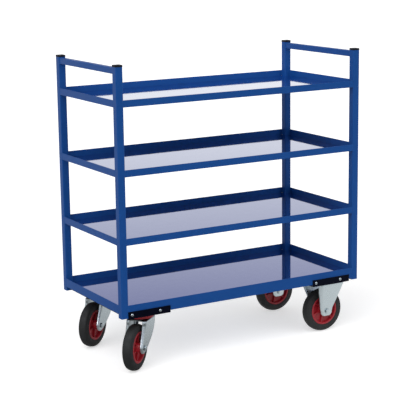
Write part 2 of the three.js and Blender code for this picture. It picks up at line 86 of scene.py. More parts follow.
# Widths of the eased edges
TUBE_EDGE = 0.4 * MM
RAIL_EDGE = 0.6 * MM
PANEL_EDGE = 0.4 * MM
CHANNEL_EDGE = 1 * MM
PRESSED_EDGE = 0.5 * MM
AXLE_EDGE = 0.4 * MM
RIM_EDGE = 0.8 * MM
EDGE_SEGMENTS = 2
EDGE_ANGLE = math.radians(40)
SMOOTH_ANGLE = math.radians(32)

# Pressed legs of the forks
LEG_OFFSET = 44 * MM
LEG_THICKNESS = 3 * MM
LEG_TOP_DEPTH = 17 * MM
LEG_FOOT_DEPTH = 8 * MM
LEG_BEND_RISE = 14 * MM
PRESS_SHARE = 0.8
FLAT_INSET = 1 * MM
FOLD_RADIUS = 6 * MM
FOLD_STEPS = 4
PRESS_STEPS = 6

# Fixed fork
FIXED_LENGTH = extent("front_right_fork").x
FIXED_WIDTH = extent("front_right_fork").y
FIXED_WAIST_LENGTH = 100 * MM
FIXED_WAIST_RISE = 70 * MM
FIXED_FOOT_LENGTH = 60 * MM
FIXED_FOOT_DROP = 24 * MM
FIXED_FOOT_CORNER = 20 * MM
FIXED_PLATE_THICKNESS = 4 * MM

# Swivel fork
TRAIL = 71 * MM
SWIVEL_REACH = 55 * MM
SWIVEL_BACK = 62 * MM
SWIVEL_WIDTH = 95 * MM
SWIVEL_CORNER = 20 * MM
SWIVEL_FOOT_RADIUS = 26 * MM
SWIVEL_SHOULDER_DROP = 23 * MM
SWIVEL_KNEE_RISE = 36 * MM
SWIVEL_TOE = math.radians(-62)
SWIVEL_WEB_THICKNESS = 4 * MM
CROWN_RADIUS = 42 * MM
CROWN_HEIGHT = 9 * MM
CROWN_EASE = 2 * MM

# Top plate of a swivel caster, its race, seal and king pin
PLATE_LENGTH = extent("front_left_swivel_plate").x
PLATE_WIDTH = extent("front_left_swivel_plate").y
PLATE_THICKNESS = 5 * MM
PLATE_CORNER = 12 * MM
RACE_RADIUS = 42 * MM
RACE_HEIGHT = 14 * MM
RACE_EASE = 2 * MM
SEAL_RADIUS = extent("front_left_seal_ring").x / 2
SEAL_SKIRT = 4.5 * MM
SEAL_ROUNDING = 2.5 * MM
KING_PIN_RADIUS = 8 * MM
KING_PIN_STEPS = 28
KING_NUT_RADIUS = 14 * MM
KING_NUT_HEIGHT = 9 * MM

# Bolts through the plates and the channels
SWIVEL_BOLT_INSET = 15 * MM
FIXED_BOLT_END_INSET = 17 * MM
FIXED_BOLT_SIDE_INSET = 37.5 * MM
BOLT_RADIUS = 5 * MM
BOLT_STEPS = 20
BOLT_HEAD_RADIUS = 9 * MM
BOLT_HEAD_HEIGHT = 6 * MM
WASHER_THICKNESS = 1.2 * MM
WASHER_STEPS = 28
CHANNEL_THICKNESS = 3 * MM
CHAMFER_SHARE = 0.12

# Axle
SLEEVE_RADIUS = 10 * MM
SLEEVE_STEPS = 40
AXLE_RADIUS = 6 * MM
AXLE_STEPS = 28
AXLE_TIP = 1 * MM
AXLE_HEAD_RADIUS = 11 * MM
AXLE_HEAD_HEIGHT = 8 * MM

# Rim
RIM_SEAT = 67.7 * MM
RIM_INSIDE = 59.7 * MM
RIM_HALF_WIDTH = 21.5 * MM
RIM_WEB_HALF = 7 * MM
RIM_DISH = 4 * MM
RIM_ROUNDING = 2 * MM
HUB_RADIUS = 19 * MM
HUB_HALF = extent("front_right_rim").y / 2
HUB_BORE = 10.3 * MM
RIB_COUNT = 6
RIB_THICKNESS = 6 * MM
RIB_WIDTH = 32 * MM
RIB_TURN = math.radians(18)

# Tyre: shares of its depth and of half its width, from the seat to the tread
TYRE_SEAT = 68 * MM
TYRE_WIDTH = 45 * MM
TYRE_STEPS = 96
TYRE_SHOULDER_STEPS = 5
TYRE_PROFILE_SHARES = [(0, 0.88), (0.15, 0.98), (0.5, 0.96), (0.8, 0.84), (0.94, 0.62), (1, 0)]

# Screws of the channels
SCREW_HEAD_RADIUS = extent("front_left_channel_screw_1").x / 2
SCREW_HEAD_HEIGHT = 4 * MM
SCREW_SOCKET_RADIUS = 2.6 * MM
SCREW_SOCKET_DEPTH = 2 * MM
SCREW_SHANK_RADIUS = 3 * MM
SCREW_NUT_RADIUS = 5.5 * MM
SCREW_NUT_HEIGHT = 5 * MM
SCREW_STEPS = 24
SCREW_DOME_STEPS = 8
RAIL_THICKNESS = 2 * MM

# Caps of the posts
POST_WALL = 2 * MM
PLUG_CORNER = 1 * MM
CAP_CORNER = 3.4 * MM
CAP_CROWN = 1.6 * MM

# Weld beads
BEAD_RADIUS = 1.8 * MM
BEAD_RIPPLE_SHARE = 0.25
BEAD_PITCH = 3 * MM
BEAD_LEAST_RIPPLES = 2
BEAD_SIDES = 8

# Steps of round and curved forms
ROUND_STEPS = 72
CURVE_STEPS = 14
CORNER_STEPS = 4
RECTANGLE_CORNER_STEPS = 9


# Shader nodes
def new_material(name):
    """New material, its nodes and its main shader."""
    material = bpy.data.materials.new(name)
    material.use_nodes = True
    tree = material.node_tree
    return material, tree, tree.nodes["Principled BSDF"]


def add_node(tree, kind, **values):
    node = tree.nodes.new(kind)
    for key, value in values.items():
        setattr(node, key, value)
    return node


def surface_point(tree, stretch=(1, 1, 1)):
    """Point of the surface in the piece's own frame, with each axis stretched."""
    place = add_node(tree, "ShaderNodeTexCoord")
    mapping = add_node(tree, "ShaderNodeMapping")
    mapping.inputs["Scale"].default_value = stretch
    tree.links.new(place.outputs["Object"], mapping.inputs["Vector"])
    return mapping.outputs["Vector"]


def noise(tree, grain, detail=3, stretch=(1, 1, 1)):
    """Noise whose spots are about grain metres wide."""
    node = add_node(tree, "ShaderNodeTexNoise")
    node.inputs["Scale"].default_value = 1 / grain
    node.inputs["Detail"].default_value = detail
    tree.links.new(surface_point(tree, stretch), node.inputs["Vector"])
    return node.outputs["Fac"]


def between(tree, value, given, wanted):
    """Value taken from the given range to the wanted one, and kept inside it."""
    node = add_node(tree, "ShaderNodeMapRange")
    for name, number in zip(("From Min", "From Max", "To Min", "To Max"), (*given, *wanted)):
        node.inputs[name].default_value = number
    tree.links.new(value, node.inputs["Value"])
    return node.outputs["Result"]


def calculated(tree, operation, first, second):
    """Sum, product or the like of two sockets or numbers."""
    node = add_node(tree, "ShaderNodeMath", operation=operation)
    for socket, value in zip(node.inputs, (first, second)):
        if isinstance(value, (int, float)):
            socket.default_value = value
        else:
            tree.links.new(value, socket)
    return node.outputs[0]


def mixed(tree, factor, first, second):
    """Colour from first to second by the factor. Each colour is a tuple or a socket."""
    node = add_node(tree, "ShaderNodeMix", data_type="RGBA")
    tree.links.new(factor, node.inputs["Factor"])
    for socket, colour in ((node.inputs[6], first), (node.inputs[7], second)):
        if isinstance(colour, tuple):
            socket.default_value = (*colour, 1)
        else:
            tree.links.new(colour, socket)
    return node.outputs[2]


def bumped(tree, shader, height, depth):
    """Bumps of a depth in metres on the shader's normal."""
    node = add_node(tree, "ShaderNodeBump")
    node.inputs["Distance"].default_value = depth
    tree.links.new(height, node.inputs["Height"])
    tree.links.new(node.outputs["Normal"], shader.inputs["Normal"])


# Materials. Shades are the two colours that a surface varies between, and a roughness is a range too.
# Noise stays mostly between its MIDDLE_SHARES.
WHOLE_SHARES = (0, 1)
MIDDLE_SHARES = (0.3, 0.7)
EDGE_COSINE_SHARES = (1, 0.85)
EDGE_SAMPLES = 4
OPEN_SHARES = (0.15, 0.75)
OPEN_SAMPLES = 16

BLUE_SHADES = ((0.008, 0.066, 0.270), (0.011, 0.080, 0.310))
# Paler blue of the sharp edges: partly paint wear, partly painted highlight
BLUE_WORN_AND_HIGHLIT = (0.09, 0.19, 0.48)
BLUE_ROUGHNESS = (0.3, 0.4)
BLUE_SPECULAR = 0.1
BLUE_CLOUD = 90 * MM
BLUE_PEEL = 1.6 * MM
BLUE_PEEL_DEPTH = 0.06 * MM
BLUE_EDGE_RADIUS = 1.5 * MM
BLUE_SCUFF = 14 * MM
SCUFF_NOISE_SHARES = (0.45, 0.75)
SCUFF_SHARES = (0.1, 0.5)

PLASTIC_SHADES = ((0.004, 0.005, 0.007), (0.008, 0.009, 0.012))
PLASTIC_ROUGHNESS = (0.4, 0.6)
PLASTIC_SPECULAR = 0.15
PLASTIC_CLOUD = 20 * MM
PLASTIC_GRAIN = 0.7 * MM
PLASTIC_GRAIN_DEPTH = 0.08 * MM

BLACK_SHADES = ((0.001, 0.002, 0.007), (0.002, 0.003, 0.012))
BLACK_ROUGHNESS = (0.3, 0.45)
BLACK_SPECULAR = 0.05
BLACK_CLOUD = 40 * MM
BLACK_PEEL = 1.4 * MM
BLACK_PEEL_DEPTH = 0.05 * MM

SHEET_SHADES = ((0.60, 0.65, 0.80), (0.66, 0.71, 0.86))
SHEET_ROUGHNESS = (0.03, 0.07)
SHEET_SPANGLE = 30 * MM
SHEET_STREAK = 6 * MM
SHEET_STREAK_STRETCH_SHARES = (0.02, 1, 1)
SHEET_STREAK_DEPTH = 0.002 * MM

STEEL_SHADES = ((0.56, 0.64, 0.67), (0.64, 0.72, 0.75))
# Dark colour painted into the hollows as shade
STEEL_HOLLOW_SHADE = (0.06, 0.07, 0.08)
STEEL_ROUGHNESS = (0.24, 0.34)
STEEL_MOTTLE = 12 * MM
STEEL_SHADE_REACH = 45 * MM
STEEL_GRAIN = 4 * MM
STEEL_GRAIN_DEPTH = 0.02 * MM

RED_SHADES = ((0.34, 0.010, 0.020), (0.42, 0.014, 0.026))
RED_ROUGHNESS = (0.3, 0.42)
RED_CLOUD = 25 * MM
RED_GRAIN = 1.1 * MM
RED_GRAIN_DEPTH = 0.04 * MM

RUBBER_SHADES = ((0.008, 0.009, 0.009), (0.018, 0.019, 0.020))
RUBBER_ROUGHNESS = (0.6, 0.8)
RUBBER_DUST = 18 * MM
RUBBER_PIT = 1.2 * MM
RUBBER_PIT_DEPTH = 0.12 * MM


def sharp_edges(tree, radius):
    """Zero on flat faces and up to one at sharp edges."""
    bevel = add_node(tree, "ShaderNodeBevel", samples=EDGE_SAMPLES)
    bevel.inputs["Radius"].default_value = radius
    place = add_node(tree, "ShaderNodeNewGeometry")
    dot = add_node(tree, "ShaderNodeVectorMath", operation="DOT_PRODUCT")
    tree.links.new(bevel.outputs["Normal"], dot.inputs[0])
    tree.links.new(place.outputs["Normal"], dot.inputs[1])
    return between(tree, dot.outputs["Value"], EDGE_COSINE_SHARES, WHOLE_SHARES)


def openness(tree, reach):
    """One on open faces and down to zero deep between others, where painted shade darkens the colour."""
    node = add_node(tree, "ShaderNodeAmbientOcclusion", samples=OPEN_SAMPLES)
    node.inputs["Distance"].default_value = reach
    return between(tree, node.outputs["AO"], OPEN_SHARES, WHOLE_SHARES)


def blue_paint():
    """Blue powder coat: close blues in soft clouds, fine orange peel, and paler sharp edges in scuffed
    patches that are partly wear and partly painted highlight.
    """
    material, tree, shader = new_material("blue_paint")
    clouds = noise(tree, BLUE_CLOUD)
    peel = noise(tree, BLUE_PEEL, detail=1)
    edge_mask = sharp_edges(tree, BLUE_EDGE_RADIUS)
    scuffs = between(tree, noise(tree, BLUE_SCUFF), SCUFF_NOISE_SHARES, SCUFF_SHARES)
    worn_and_highlit = calculated(tree, "MULTIPLY", edge_mask, scuffs)
    base = mixed(tree, clouds, *BLUE_SHADES)
    # Paler blue on sharp edges in scuffed patches: partly paint wear, partly painted highlight
    tree.links.new(mixed(tree, worn_and_highlit, base, BLUE_WORN_AND_HIGHLIT), shader.inputs["Base Color"])
    tree.links.new(between(tree, clouds, MIDDLE_SHARES, BLUE_ROUGHNESS), shader.inputs["Roughness"])
    shader.inputs["Specular IOR Level"].default_value = BLUE_SPECULAR
    bumped(tree, shader, peel, BLUE_PEEL_DEPTH)
    return material


def black_plastic():
    """Moulded black plastic with a fine grain."""
    material, tree, shader = new_material("black_plastic")
    clouds = noise(tree, PLASTIC_CLOUD)
    grain = noise(tree, PLASTIC_GRAIN)
    tree.links.new(mixed(tree, clouds, *PLASTIC_SHADES), shader.inputs["Base Color"])
    tree.links.new(between(tree, grain, MIDDLE_SHARES, PLASTIC_ROUGHNESS), shader.inputs["Roughness"])
    shader.inputs["Specular IOR Level"].default_value = PLASTIC_SPECULAR
    bumped(tree, shader, grain, PLASTIC_GRAIN_DEPTH)
    return material


def black_paint():
    """Black paint with a hint of blue on the folded channels."""
    material, tree, shader = new_material("black_paint")
    clouds = noise(tree, BLACK_CLOUD)
    peel = noise(tree, BLACK_PEEL, detail=1)
    tree.links.new(mixed(tree, clouds, *BLACK_SHADES), shader.inputs["Base Color"])
    tree.links.new(between(tree, clouds, MIDDLE_SHARES, BLACK_ROUGHNESS), shader.inputs["Roughness"])
    shader.inputs["Specular IOR Level"].default_value = BLACK_SPECULAR
    bumped(tree, shader, peel, BLACK_PEEL_DEPTH)
    return material


def zinc_sheet():
    """Bright rolled sheet: long faint streaks along the shelf and a light spangle."""
    material, tree, shader = new_material("zinc_sheet")
    streaks = noise(tree, SHEET_STREAK, stretch=SHEET_STREAK_STRETCH_SHARES)
    spangle = noise(tree, SHEET_SPANGLE, detail=2)
    shader.inputs["Metallic"].default_value = 1
    tree.links.new(mixed(tree, spangle, *SHEET_SHADES), shader.inputs["Base Color"])
    tree.links.new(between(tree, streaks, MIDDLE_SHARES, SHEET_ROUGHNESS), shader.inputs["Roughness"])
    bumped(tree, shader, streaks, SHEET_STREAK_DEPTH)
    return material


def zinc_steel():
    """Bright zinc plate on pressed steel, cool grey with soft mottling, and darkened in its hollows by
    painted shade.
    """
    material, tree, shader = new_material("zinc_steel")
    mottle = noise(tree, STEEL_MOTTLE)
    grain = noise(tree, STEEL_GRAIN)
    shader.inputs["Metallic"].default_value = 1
    plated = mixed(tree, mottle, *STEEL_SHADES)
    # Painted shade: the colour turns dark where the surface lies deep between others
    colour = mixed(tree, openness(tree, STEEL_SHADE_REACH), STEEL_HOLLOW_SHADE, plated)
    tree.links.new(colour, shader.inputs["Base Color"])
    tree.links.new(between(tree, mottle, MIDDLE_SHARES, STEEL_ROUGHNESS), shader.inputs["Roughness"])
    bumped(tree, shader, grain, STEEL_GRAIN_DEPTH)
    return material


def red_plastic():
    """Moulded red plastic, a little uneven in gloss."""
    material, tree, shader = new_material("red_plastic")
    clouds = noise(tree, RED_CLOUD)
    grain = noise(tree, RED_GRAIN)
    tree.links.new(mixed(tree, clouds, *RED_SHADES), shader.inputs["Base Color"])
    tree.links.new(between(tree, clouds, MIDDLE_SHARES, RED_ROUGHNESS), shader.inputs["Roughness"])
    bumped(tree, shader, grain, RED_GRAIN_DEPTH)
    return material


def tyre_rubber():
    """Black rubber, dusty and matt, with a fine pitted skin."""
    material, tree, shader = new_material("tyre_rubber")
    dust = noise(tree, RUBBER_DUST)
    pits = noise(tree, RUBBER_PIT)
    tree.links.new(mixed(tree, dust, *RUBBER_SHADES), shader.inputs["Base Color"])
    tree.links.new(between(tree, dust, MIDDLE_SHARES, RUBBER_ROUGHNESS), shader.inputs["Roughness"])
    bumped(tree, shader, pits, RUBBER_PIT_DEPTH)
    return material


materials = {
    "blue_paint": blue_paint(),
    "black_plastic": black_plastic(),
    "black_paint": black_paint(),
    "zinc_sheet": zinc_sheet(),
    "zinc_steel": zinc_steel(),
    "red_plastic": red_plastic(),
    "tyre_rubber": tyre_rubber(),
}


# Outlines and profiles
def spaced(start, end, steps):
    """Evenly spaced numbers from start to end, both included."""
    return [start + (end - start) * i / steps for i in range(steps + 1)]


def arc(center, radius, start, end, steps=CURVE_STEPS):
    """Points of an arc from one angle to another."""
    return [Vector((center[0] + radius * math.cos(a), center[1] + radius * math.sin(a)))
            for a in spaced(start, end, steps)]


def bend(start, control, end, steps=CURVE_STEPS):
    """Points of a curve that leaves start towards the control point and comes from it to end."""
    first, middle, last = Vector(start), Vector(control), Vector(end)
    return [first.lerp(middle, t).lerp(middle.lerp(last, t), t) for t in spaced(0, 1, steps)]


def rounded(points, radius, steps=CORNER_STEPS):
    """Closed outline with each corner rounded, where its sides leave room."""
    made = []
    for i, point in enumerate(points):
        corner = Vector(point)
        before = Vector(points[i - 1]) - corner
        after = Vector(points[(i + 1) % len(points)]) - corner
        reach = min(radius, before.length / 2, after.length / 2)
        start = corner + before.normalized() * reach
        end = corner + after.normalized() * reach
        made.extend(bend(start, corner, end, steps))
    return made


def rounded_rectangle(length, width, corner):
    """Outline about the origin."""
    x = length / 2
    y = width / 2
    return rounded([(x, y), (-x, y), (-x, -y), (x, -y)], corner, RECTANGLE_CORNER_STEPS)


def mirrored_profile(half):
    """Closed profile of radius and y from its half on one side, given from the inside out."""
    return [*half, *[(radius, -y) for radius, y in reversed(half) if y > 0]]


# Mesh building
def in_scene(name, data):
    """Object with its data, linked to the scene."""
    made = bpy.data.objects.new(name, data)
    bpy.context.scene.collection.objects.link(made)
    return made


def loft(bm, rings, closed_ends=True):
    """Skin through rings of vertices with the same number of points."""
    for first, second in zip(rings, rings[1:]):
        for i in range(len(first)):
            j = (i + 1) % len(first)
            bm.faces.new((first[i], first[j], second[j], second[i]))
    if closed_ends:
        bm.faces.new(list(reversed(rings[0])))
        bm.faces.new(rings[-1])


def add_prism(bm, outline, bottom, top):
    """Upright prism over an outline."""
    loft(bm, [[bm.verts.new((x, y, z)) for x, y in outline] for z in (bottom, top)])


def add_turned_point(bm, radius, angle, height, axis, place=(0, 0, 0)):
    """Vertex at a radius and an angle about an axis, and at a height along it."""
    spot = Vector((radius * math.cos(angle), radius * math.sin(angle), height))
    if axis == "Y":
        spot = Vector((spot.x, spot.z, -spot.y))
    return bm.verts.new(spot + Vector(place))


def add_lathe(bm, profile, axis="Z", steps=ROUND_STEPS):
    """Ring turned from a closed profile of radius and height about an axis."""
    rings = []
    for step in range(steps):
        angle = 2 * math.pi * step / steps
        rings.append([add_turned_point(bm, radius, angle, height, axis) for radius, height in profile])
    loft(bm, [*rings, rings[0]], closed_ends=False)


def add_shaft(bm, profile, axis="Z", steps=ROUND_STEPS, place=(0, 0, 0)):
    """Solid turned about an axis from radius and height, with flat ends."""
    angles = [2 * math.pi * (step + 0.5) / steps for step in range(steps)]
    rings = []
    for radius, height in profile:
        ring = [add_turned_point(bm, radius, angle, height, axis, place) for angle in angles]
        rings.append(ring)
    loft(bm, rings)


def add_hexagon(bm, radius, low, high, axis="Z", place=(0, 0, 0)):
    """Hexagon head or nut with its corners eased at both ends."""
    ease = CHAMFER_SHARE * radius
    profile = [
        (radius - ease, low),
        (radius, low + ease / 2),
        (radius, high - ease / 2),
        (radius - ease, high),
    ]
    add_shaft(bm, profile, axis, 6, place)


def add_box(bm, low, high, matrix):
    """Box between two corners, turned or moved by a matrix."""
    outline = [(high[0], high[1]), (low[0], high[1]), (low[0], low[1]), (high[0], low[1])]
    start = len(bm.verts)
    add_prism(bm, outline, low[2], high[2])
    bm.verts.ensure_lookup_table()
    bmesh.ops.transform(bm, matrix=matrix, verts=bm.verts[start:])


def ease_edges(piece, width):
    """Small bevel on every sharp edge."""
    modifier = piece.modifiers.new("eased_edges", "BEVEL")
    modifier.width = width
    modifier.segments = EDGE_SEGMENTS
    modifier.limit_method = "ANGLE"
    modifier.angle_limit = EDGE_ANGLE
    modifier.harden_normals = True


def finished(bm, name, body, slot, replaced=None, matrix=Matrix.Identity(4), edge=0, smooth=SMOOTH_ANGLE):
    """Piece from a mesh: placed, smoothed, given its material, and put on its body."""
    bmesh.ops.recalc_face_normals(bm, faces=bm.faces)
    mesh = bpy.data.meshes.new(name)
    bm.to_mesh(mesh)
    bm.free()
    mesh.transform(matrix)
    mesh.shade_smooth()
    mesh.set_sharp_from_angle(angle=smooth)
    mesh.materials.append(materials[slot])
    piece = in_scene(name, mesh)
    if edge:
        ease_edges(piece, edge)
    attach(piece, body)
    if replaced:
        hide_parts(replaced)


# Frame, shelves and channels
def dress_node(name, slot, edge):
    """Material and eased edges of a node whose shape is right as it is."""
    node = nodes[name]
    node.data.materials.clear()
    node.data.materials.append(materials[slot])
    weld = node.modifiers.new("joined_corners", "WELD")
    weld.merge_threshold = SAME_POINT
    ease_edges(node, edge)


for side in SIDES:
    for end in ENDS:
        dress_node(f"{side}_{end}_post", "blue_paint", TUBE_EDGE)
for end in ENDS:
    dress_node(f"{end}_handle_bar", "blue_paint", TUBE_EDGE)
    dress_node(f"{end}_caster_channel", "black_paint", CHANNEL_EDGE)
for level in LEVELS:
    dress_node(f"shelf_{level}_panel", "zinc_sheet", PANEL_EDGE)
    for place in (*SIDES, *ENDS):
        dress_node(f"shelf_{level}_{place}_rail", "blue_paint", RAIL_EDGE)


def upright_frame(name):
    """Frame with its origin on the floor under the middle of a node."""
    spot = middle(name)
    return Matrix.Translation((spot.x, spot.y, 0))


def post_cap(name):
    """Cap of a post: a head with a rounded top and a plug inside the tube."""
    post = name.removesuffix("_cap")
    post_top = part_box(post)[1].z
    low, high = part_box(name)
    side = high.x - low.x
    sections = [
        (0, post_top),
        (0, high.z - CAP_CROWN),
        (CAP_CROWN / 3, high.z - CAP_CROWN / 3),
        (CAP_CROWN, high.z),
    ]
    bm = bmesh.new()
    rings = []
    for inset, z in sections:
        outline = rounded_rectangle(side - 2 * inset, side - 2 * inset, CAP_CORNER)
        rings.append([bm.verts.new((x, y, z)) for x, y in outline])
    loft(bm, rings)
    plug = extent(post).x - 2 * POST_WALL - 2 * PLAY
    add_prism(bm, rounded_rectangle(plug, plug, PLUG_CORNER), low.z, post_top + OVERLAP / 2)
    finished(bm, f"{name}_moulded", "chassis", "black_plastic", name, upright_frame(name))


for side in SIDES:
    for end in ENDS:
        post_cap(f"{side}_{end}_post_cap")


def channel_screw(name):
    """Screw of a channel: domed head with a round socket, shank and nut."""
    head = -CHANNEL_THICKNESS
    nut_end = RAIL_THICKNESS + SCREW_NUT_HEIGHT
    socket_angle = math.asin(SCREW_SOCKET_RADIUS / SCREW_HEAD_RADIUS)
    dome = [(SCREW_HEAD_RADIUS * math.sin(a), head - SCREW_HEAD_HEIGHT * math.cos(a))
            for a in spaced(socket_angle, math.pi / 2, SCREW_DOME_STEPS)]
    socket = (SCREW_SOCKET_RADIUS, dome[0][1] + SCREW_SOCKET_DEPTH)
    shank = [(SCREW_SHANK_RADIUS, head), (SCREW_SHANK_RADIUS, nut_end)]
    bm = bmesh.new()
    add_shaft(bm, [socket, *dome, *shank], "Y", SCREW_STEPS)
    add_hexagon(bm, SCREW_NUT_RADIUS, RAIL_THICKNESS, nut_end, "Y")
    low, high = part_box(name)
    spot = middle(name)
    proud = CHANNEL_THICKNESS + SCREW_HEAD_HEIGHT
    if name.startswith("front"):
        place = Matrix.Translation((spot.x, low.y + proud, spot.z))
    else:
        place = Matrix.Translation((spot.x, high.y - proud, spot.z)) @ Matrix.Rotation(math.pi, 4, "Z")
    finished(bm, f"{name}_domed", "chassis", "zinc_steel", name, place)


for side in SIDES:
    for end in ENDS:
        for number in SCREW_NUMBERS:
            channel_screw(f"{side}_{end}_channel_screw_{number}")


# Casters. Each frame has its origin on the floor under the swivel axis, or under the axle of a fixed
# caster, X forwards and Y along the axle.
WHEEL_RADIUS = extent("front_right_tyre").z / 2
MOUNTING_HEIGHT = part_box("left_caster_channel")[0].z
SWIVEL_TOP = MOUNTING_HEIGHT - PLATE_THICKNESS - RACE_HEIGHT - CROWN_HEIGHT
LEG_BEND = WHEEL_RADIUS + LEG_BEND_RISE
LEG_FOOT = WHEEL_RADIUS - SWIVEL_FOOT_RADIUS


def caster_frame(name):
    """Frame of a caster, and the place of its axle along X in it."""
    spin = joints[f"{name}_wheel_spin"]
    if f"{name}_swivel" not in joints:
        return Matrix.Translation((spin["pos_m"][0], spin["pos_m"][1], 0)), 0
    x, y, _ = joints[f"{name}_swivel"]["pos_m"]
    turn = math.atan2(-spin["axis"][0], spin["axis"][1])
    return Matrix.Translation((x, y, 0)) @ Matrix.Rotation(turn, 4, "Z"), -TRAIL


def wheel_frame(name):
    """Frame of a caster with its origin moved to the middle of the wheel."""
    matrix, axle_x = caster_frame(name)
    return matrix @ Matrix.Translation((axle_x, 0, WHEEL_RADIUS))


def fixed_leg(top, inset):
    """Outline of a fixed fork's leg, from the back top round the foot to the front top."""
    half = FIXED_LENGTH / 2 - inset
    waist = FIXED_WAIST_LENGTH / 2 - inset
    foot = FIXED_FOOT_LENGTH / 2 - inset
    corner = FIXED_FOOT_CORNER - inset
    corner_z = WHEEL_RADIUS - FIXED_FOOT_DROP + inset + corner
    waist_z = WHEEL_RADIUS + FIXED_WAIST_RISE
    flare_rise = (top - waist_z) / 2
    flare_x = waist + flare_rise * (waist - foot) / (waist_z - corner_z)
    flare_z = waist_z + flare_rise
    return [
        *bend((-half, top), (-flare_x, flare_z), (-waist, waist_z)),
        *arc((corner - foot, corner_z), corner, math.pi, 1.5 * math.pi),
        *arc((foot - corner, corner_z), corner, 1.5 * math.pi, 2 * math.pi),
        *bend((waist, waist_z), (flare_x, flare_z), (half, top)),
    ]


def swivel_leg(top, inset):
    """Outline of a swivel fork's leg, from the shoulder round the foot and the knee to the front top."""
    radius = SWIVEL_FOOT_RADIUS - inset
    back = inset - SWIVEL_BACK
    front = SWIVEL_REACH - inset
    shoulder = SWIVEL_TOP - SWIVEL_SHOULDER_DROP
    away = Vector((TRAIL + back, shoulder - WHEEL_RADIUS))
    heel = math.atan2(away.y, away.x) + math.acos(radius / away.length)
    foot = arc((-TRAIL, WHEEL_RADIUS), radius, heel, 2 * math.pi + SWIVEL_TOE, 2 * CURVE_STEPS)
    knee = WHEEL_RADIUS + SWIVEL_KNEE_RISE
    return [
        *bend((-front, top), (back, top), (back, shoulder)),
        *foot,
        *bend(foot[-1], (front, knee), (front, top)),
    ]


def leg_rows(outline, top):
    """Rows of points of an upright leg, a pan of even thickness whose walls turn in towards the wheel:
    from its face over the wide rounded edge to the free edge of the wall, and back on the inside."""
    deepening = (LEG_TOP_DEPTH - LEG_FOOT_DEPTH) / (top - LEG_FOOT)
    depths = [LEG_FOOT_DEPTH + deepening * max(z - LEG_FOOT, 0) for _, z in outline(top, 0)]

    def edge_row(angle, inward, flat=0):
        """Points on the rounded edge, by the angle from the face. A flat row lies on the face itself."""
        spots = []
        for i, depth in enumerate(depths):
            radius = PRESS_SHARE * depth + LEG_THICKNESS / 2 - inward
            inset = inward + flat + radius * (1 - math.sin(angle))
            x, z = outline(top, inset)[i]
            spots.append((x, LEG_OFFSET - inward - radius * (1 - math.cos(angle)), z))
        return spots

    def one_side(inward):
        """Rows of the outside or the inside."""
        edge = [edge_row(angle, inward) for angle in spaced(0, math.pi / 2, PRESS_STEPS)]
        free_edge = [(x, LEG_OFFSET - depth, z) for depth, (x, z) in zip(depths, outline(top, inward))]
        return [edge_row(0, inward, FLAT_INSET), *edge, free_edge]

    return [*one_side(0), *reversed(one_side(LEG_THICKNESS))]


def lean_and_fold(leg, top, lean, side):
    """Upright leg bent to lean outwards above the bend, and folded in at the top."""
    fold = top - FOLD_RADIUS
    fold_cuts = [fold + FOLD_RADIUS * math.sin(a) for a in spaced(0, math.pi / 2, FOLD_STEPS)[:-1]]
    for height in (LEG_BEND, *fold_cuts):
        everything = [*leg.verts, *leg.edges, *leg.faces]
        bmesh.ops.bisect_plane(leg, geom=everything, plane_co=(0, 0, height), plane_no=(0, 0, 1))
    for vert in leg.verts:
        rise = min(max(vert.co.z - fold, 0), FOLD_RADIUS)
        folded = FOLD_RADIUS - math.sqrt(FOLD_RADIUS ** 2 - rise ** 2)
        vert.co.y = side * (vert.co.y + lean * max(vert.co.z - LEG_BEND, 0) - folded)


def add_leg(bm, outline, top, lean, side):
    """Pressed leg on one side of the wheel."""
    leg = bmesh.new()
    loft(leg, [[leg.verts.new(spot) for spot in row] for row in leg_rows(outline, top)])
    lean_and_fold(leg, top, lean, side)
    copied = {vert: bm.verts.new(vert.co) for vert in leg.verts}
    for face in leg.faces:
        bm.faces.new([copied[vert] for vert in face.verts])
    leg.free()


def add_bolt(bm, spot, plate_bottom):
    """Bolt through a plate and its channel, with washers under its head and its nut."""
    channel_top = MOUNTING_HEIGHT + CHANNEL_THICKNESS
    nut_top = channel_top + BOLT_HEAD_HEIGHT
    head_bottom = plate_bottom - BOLT_HEAD_HEIGHT
    add_shaft(bm, [(BOLT_RADIUS, head_bottom + OVERLAP), (BOLT_RADIUS, nut_top)], "Z", BOLT_STEPS, spot)
    add_hexagon(bm, BOLT_HEAD_RADIUS, head_bottom, plate_bottom - WASHER_THICKNESS, "Z", spot)
    add_hexagon(bm, BOLT_HEAD_RADIUS, channel_top + WASHER_THICKNESS, nut_top, "Z", spot)
    for low in (plate_bottom - WASHER_THICKNESS, channel_top):
        ring = [(BOLT_HEAD_RADIUS, low), (BOLT_HEAD_RADIUS, low + WASHER_THICKNESS)]
        add_shaft(bm, ring, "Z", WASHER_STEPS, spot)


def add_bolts(bm, spacing_x, spacing_y, plate_bottom):
    """Bolts near the four corners of a plate."""
    for x in (-spacing_x / 2, spacing_x / 2):
        for y in (-spacing_y / 2, spacing_y / 2):
            add_bolt(bm, (x, y, 0), plate_bottom)


def fixed_fork(name):
    """Fork of a fixed caster: two legs under a plate that is bolted to the channel."""
    lean = (FIXED_WIDTH / 2 - LEG_OFFSET) / (MOUNTING_HEIGHT - LEG_BEND)
    bottom = MOUNTING_HEIGHT - FIXED_PLATE_THICKNESS
    bm = bmesh.new()
    for side in (-1, 1):
        add_leg(bm, fixed_leg, MOUNTING_HEIGHT, lean, side)
    plate = rounded_rectangle(FIXED_LENGTH, FIXED_WIDTH - 2 * FOLD_RADIUS, PRESS_SHARE * LEG_TOP_DEPTH)
    add_prism(bm, plate, bottom, MOUNTING_HEIGHT)
    spacing_x = FIXED_LENGTH - 2 * FIXED_BOLT_END_INSET
    spacing_y = FIXED_WIDTH - 2 * FIXED_BOLT_SIDE_INSET
    add_bolts(bm, spacing_x, spacing_y, bottom)
    matrix, _ = caster_frame(name)
    finished(bm, f"{name}_fork_pressed", "chassis", "zinc_steel", f"{name}_fork", matrix, PRESSED_EDGE)


